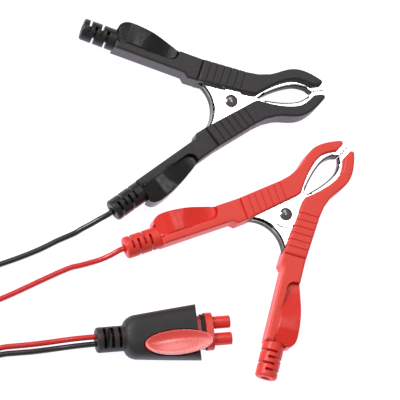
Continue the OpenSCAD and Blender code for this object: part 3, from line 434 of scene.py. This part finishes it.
# The mouth's walls take a dark chromium: painted shade for the dark reflections deep in the mouth.
shaded_mouth_chrome = polished("plated_chromium_painted_shade", "#45433F", "#63615C",
                         smooth=0.12, rough=0.22, size=5, Specular_Tint=linear("#B3B3B1"))


def on_mouth_wall(middle, normal, steepness=bent_wall, start=bend_from - 1):
    """Whether a face of a jaw, in the clamp's own frame, belongs to a wall of the mouth."""
    return abs(normal.z) < steepness and normal.y * middle.y < 0 and middle.x > start


def round_bends(solid):
    """Rounds the bends where the jaw's cheeks turn down into the mouth's wall."""
    bmesh.ops.dissolve_limit(solid, angle_limit=math.radians(1),
                             verts=solid.verts, edges=solid.edges)
    solid.normal_update()
    bends = [edge for edge in solid.edges
             if len(edge.link_faces) == 2
             and all(bend_from < vert.co.x < bend_to for vert in edge.verts)
             and any(on_mouth_wall(face.calc_center_median(), face.normal, upright_wall, bend_from)
                     for face in edge.link_faces)
             and any(abs(face.normal.z) > flat_cheek for face in edge.link_faces)]
    bmesh.ops.bevel(solid, geom=bends, offset=bend_radius, offset_type="OFFSET",
                    segments=bend_segments, profile=0.5, affect="EDGES", material=-1)


def finish_part(piece, own_frame, material, belongs):
    """Gives a second material, darker as painted shade, to those faces of a piece that belong to
    it, in its own frame.
    """
    piece.data.materials.append(material)
    inverse = own_frame.inverted()
    for face in piece.data.polygons:
        normal = (inverse.to_3x3() @ face.normal).normalized()
        face.material_index = int(belongs(inverse @ face.center, normal))


clamps = {"black": (black_place, black_turn, 1), "red": (red_place, red_turn, -1)}
for clamp, (place, turn, side) in clamps.items():
    own_frame = frame_at(place, turn, 0, 0, clamp_height)
    for kind, body in (("wired", "lead_set"), ("moving", f"{clamp}_moving_arm")):
        jaw = smoothed(f"{clamp}_{kind}_jaw", f"{clamp}_{kind}_jaw_plate", body, "jaw_steel",
                       chrome, carve=round_bends, own_frame=own_frame)
        # The mouth's walls get the dark chromium: painted shade.
        finish_part(jaw, own_frame, shaded_mouth_chrome, on_mouth_wall)


# ---------- rivets, leaf springs and crimps ----------
# Steel rivets with domed heads hold the jaws, a bent leaf of spring steel pushes each pair
# of handles apart, and rolled barrels join the wires to the jaws.
round_sharp = 50

# Nickel plate: a mirror with a warmer, darker cast than the chromium round it.
nickel = polished("plated_nickel_rivet", "#7A7573", "#8F8B88", smooth=0.16, rough=0.22, size=3)
for clamp in clamps:
    smoothed(f"{clamp}_rivet", f"{clamp}_rivet_head", "lead_set", "rivet_steel", nickel,
             sharp=round_sharp)

# Spring steel as it leaves the rolls, oiled and brownish black, with 9 mm patches painted up to
# light grey as a painted sheen.
sheen_patched_steel = polished("rolled_spring_steel_painted_sheen", "#2E2B29", "#85827E",
                        smooth=0.14, rough=0.24, size=9, Specular_Tint=linear("#BBBBBA"))
for clamp, (place, turn, side) in clamps.items():
    leaf = smoothed(f"{clamp}_leaf_spring", f"{clamp}_bent_spring", None, "spring_steel",
                    sheen_patched_steel, sharp=round_sharp)
    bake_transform(leaf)
dress(sheen_patched_steel, "black_crimp", "red_crimp")


# ---------- latch pin and return spring ----------
# Both are of the leaf springs' steel. The pin crosses the housing's well, and a small coil
# under the rear of the thumb plate lifts it again.
turning_wire, turning_mean, turning_height = 0.5, 1.55, 2.08
turns, steps_a_turn, wire_sides = 2.5, 24, 8
foot_back, foot_up = 8.375, 4.204

dress(sheen_patched_steel, "latch_pin")

steps = round(turns * steps_a_turn)
spring_foot = placed(plug_place, plug_turn, -latch_back - foot_back, -latch_side,
                     plug_height + foot_up)
upright = (Matrix.Translation((turning_mean, 0, turning_wire / 2))
           @ Matrix.Rotation(math.radians(90), 4, "X"))
solid = bmesh.new()
bmesh.ops.create_circle(solid, segments=wire_sides, radius=turning_wire / 2, matrix=upright)
bmesh.ops.spin(solid, geom=solid.verts[:] + solid.edges[:], cent=(0, 0, 0), axis=(0, 0, 1),
               dvec=(0, 0, (turning_height - turning_wire) / steps),
               angle=math.radians(360 * turns), steps=steps)
for face in solid.faces:
    face.smooth = True
bmesh.ops.holes_fill(solid, edges=[edge for edge in solid.edges if edge.is_boundary])
bmesh.ops.recalc_face_normals(solid, faces=solid.faces)
in_order(solid)
bmesh.ops.transform(solid, matrix=Matrix.Translation(spring_foot * mm) @ Matrix.Scale(mm, 4),
                    verts=solid.verts)
latch_coil = ready(made(solid, "latch_coil"), "lead_set", "spring_steel", sheen_patched_steel,
                   "latch_spring")
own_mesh(latch_coil)


# ---------- jaw covers ----------
# Moulded nylon shells that are clipped over the outside of the jaws, with grooves across
# the grip.

# Nylon from a lightly blasted tool: a satin skin that greys evenly under the lamps.
shell_plastic = {
    clamp: moulded(f"moulded_nylon_{clamp}", dark, light, grain=0.6, rough=0.42, edge=0.5)
    for clamp, dark, light in (("black", "#2E2A2B", "#353132"), ("red", "#EC4236", "#F04B3E"))}
for clamp, plastic in shell_plastic.items():
    for kind, body in (("wired", "lead_set"), ("moving", f"{clamp}_moving_arm")):
        smoothed(f"{clamp}_{kind}_cover", f"{clamp}_{kind}_shell", body, f"{clamp}_cover", plastic)


# ---------- handles ----------
# Moulded in the covers' plastic. Each has a polished thumb pad on both faces of a swollen
# lobe: it starts in a shallow pocket, rises to a crest and falls to a rounded end.
pad_front, pad_inner, pad_crest_back, lobe_rear = 31.7, 8.9, 55, 64
front_level, crest_level, end_level, slab_level = 5.1, 7.2, 5.05, 6.6
solid_fall = 1.8
pad_start_level, pad_rise_power, pad_fall_power = 6, 1.25, 1.4
pad_crown, pad_width = 0.2, 10
pad_corner, pocket_wall, pocket_rim = 4, 0.3, 0.05
core = 3
cut_first, cut_step, cut_count, cut_gap = 0.4, 0.8, 40, 0.0005
cuts_across = (-0.8, 0.35, 0.8, 1.5, 2.5, 3.7, 4.9, 6.1, 7.3, 8.5)
groove_from, groove_to, groove_run, groove_half, groove_depth = 41, 62, 8, 0.2, 0.7
on_slab, past_edge, past_face = 0.03, 0.01, 0.07


def solid_level(back):
    """Half the thickness of the solid at the thumb pad."""
    if back < pad_crest_back:
        along = (back - pad_front) / (pad_crest_back - pad_front)
        return front_level + (crest_level - front_level) * (1 - math.cos(math.pi * along)) / 2
    along = (back - pad_crest_back) / (lobe_rear - pad_crest_back)
    return crest_level - solid_fall * (1 - math.cos(math.pi / 2 * along))


def pad_level(back, out):
    """The pad's own fuller form: it dips in from the handle's face, rises to the crest, is
    crowned across, and falls quickly behind."""
    if back < pad_crest_back:
        along = (back - pad_front) / (pad_crest_back - pad_front)
        rise = (1 - max(0, along)) ** pad_rise_power
        level = crest_level - (crest_level - pad_start_level) * rise
    else:
        along = (back - pad_crest_back) / (lobe_rear - pad_crest_back)
        level = crest_level - (crest_level - end_level) * min(1, along) ** pad_fall_power
    level -= pad_crown * ((out - pad_inner) / pad_width) ** 2
    from_front, from_inner = back - pad_front, out - pad_inner
    inside = min(from_front, from_inner)
    if max(from_front, from_inner) < pad_corner:
        inside = pad_corner - math.hypot(pad_corner - from_front, pad_corner - from_inner)
    if level < slab_level:
        level += (slab_level - pocket_rim - level) * math.exp(-max(0, inside) / pocket_wall)
    return level


def on_pad(point, normal=None):
    """Whether a point of the handle's frame is on the lobe."""
    return (point.x > pad_front - past_edge and point.y > pad_inner - past_edge
            and abs(point.z) < solid_level(point.x) + past_face)


def shape_pads(solid):
    """Cuts the lobe into small faces, gives both pads their own form, and presses a fine
    groove along each pad's inner edge."""
    cuts = [((pad_front + cut_first + cut_step * i, 0, 0), (1, 0, 0)) for i in range(cut_count)]
    cuts += [((0, pad_inner + out, 0), (0, 1, 0)) for out in cuts_across]
    for through, normal in cuts:
        bmesh.ops.bisect_plane(solid, geom=solid.verts[:] + solid.edges[:] + solid.faces[:],
                               dist=cut_gap, plane_co=through, plane_no=normal)
    for vert in solid.verts:
        p = vert.co
        if on_pad(p) and abs(p.z) > core:
            old = solid_level(p.x)
            share = climb((abs(p.z) - core) / (old - core))
            p.z -= math.copysign((old - pad_level(p.x, p.y)) * share, p.z)
        elif (abs(abs(p.z) - slab_level) < on_slab and groove_from < p.x < groove_to
              and abs(p.y - pad_inner) < groove_half):
            p.z -= math.copysign(groove_depth * climb((p.x - groove_from) / groove_run), p.z)


def grip_frame(place, turn, side):
    """The handle's own frame in millimetres: X back along it, Y outwards, from the rivet."""
    origin = placed(place, turn, 0, 0, clamp_height)
    still = Vector((0, 0))
    back = placed(still, turn, -math.cos(handle_angle), side * math.sin(handle_angle), 0)
    out = placed(still, turn, math.sin(handle_angle), side * math.cos(handle_angle), 0)
    facing = Matrix((back, out, (0, 0, 1))).transposed().to_4x4()
    return Matrix.Translation(origin * mm) @ facing @ Matrix.Scale(mm, 4)


# The same nylon where the tool was polished, with a clear shine on the crest; its tint is drawn
# darker and deeper than the shell's as painted shade.
shaded_pad_plastic = {
    clamp: moulded(f"polished_shaded_nylon_{clamp}", dark, light, grain=1.2, rough=rough, edge=0.3,
                   depth=0.01)
    for clamp, dark, light, rough in (("black", "#131111", "#181616", 0.24),
                                      ("red", "#E62C21", "#EA3327", 0.26))}
for clamp, (place, turn, way) in clamps.items():
    for kind, body, side in (("wired", "lead_set", -way), ("moving", f"{clamp}_moving_arm", way)):
        own_frame = grip_frame(place, turn, side)
        grip = smoothed(f"{clamp}_{kind}_handle", f"{clamp}_{kind}_grip", body, f"{clamp}_handle",
                        shell_plastic[clamp], carve=shape_pads, own_frame=own_frame)
        # The pads take the darker nylon: painted shade.
        finish_part(grip, own_frame, shaded_pad_plastic[clamp], on_pad)


# ---------- boots ----------
# Strain-relief sleeves of soft PVC with bending slots, pushed over the handles' tails. The
# wired ones grip the wire, and the spare ones are empty and show their bore.

# Soft PVC: a rubbery skin with a low, even shine.
boot_pvc = {
    clamp: moulded(f"soft_pvc_{clamp}", dark, light, grain=0.4, rough=rough, edge=0.3)
    for clamp, dark, light, rough in (("black", "#1B1A1A", "#232121", 0.36),
                                      ("red", "#EA3A2F", "#F04439", 0.4))}
for clamp, pvc in boot_pvc.items():
    for kind, body in (("wired", "lead_set"), ("spare", f"{clamp}_moving_arm")):
        smoothed(f"{clamp}_{kind}_boot", f"{clamp}_{kind}_sleeve", body, f"{clamp}_boot", pvc)


# ---------- floor and light ----------
# A plain pale table of matt board, three soft studio lamps and an even white room. The board
# glows a little, so that the soft shadows stay faint.
floor_size, floor_drop = 6, 0.2 * mm
bpy.ops.mesh.primitive_plane_add(size=floor_size, location=(0, 0, -floor_drop))
floor = bpy.context.object
floor.name = "floor"
floor.data.materials.append(
    finish("matt_white_board", tint=(40, "#A5A3AE", "#A9A7B2"), Roughness=0.9,
           Emission_Color=linear("#F7F5FF"), Emission_Strength=1.0))

lamp_distance = 1.5
for name, towards_lamp, size, brightness in (
        ("top_light", (0.2045, 0.2204, 0.9537), 0.32, 4),
        ("back_light", (0.04, 0.58, 0.81), 0.6, 2),
        ("left_light", (-0.62, 0.35, 0.7), 0.5, 18)):
    # Its brightness is that of the lamp's own face.
    lamp = bpy.data.lights.new(name, "AREA")
    lamp.shape = "SQUARE"
    lamp.size = size
    lamp.energy = brightness * math.pi * size ** 2
    holder = bpy.data.objects.new(name, lamp)
    bpy.context.scene.collection.objects.link(holder)
    direction = Vector(towards_lamp).normalized()
    holder.location = direction * lamp_distance
    holder.rotation_euler = (-direction).to_track_quat("-Z", "Y").to_euler()

room_light = 0.35
world = bpy.data.worlds.new("studio")
bpy.context.scene.world = world
world.use_nodes = True
world.node_tree.nodes["Background"].inputs["Color"].default_value = (1, 1, 1, 1)
world.node_tree.nodes["Background"].inputs["Strength"].default_value = room_light
bpy.context.scene.view_settings.view_transform = "Standard"
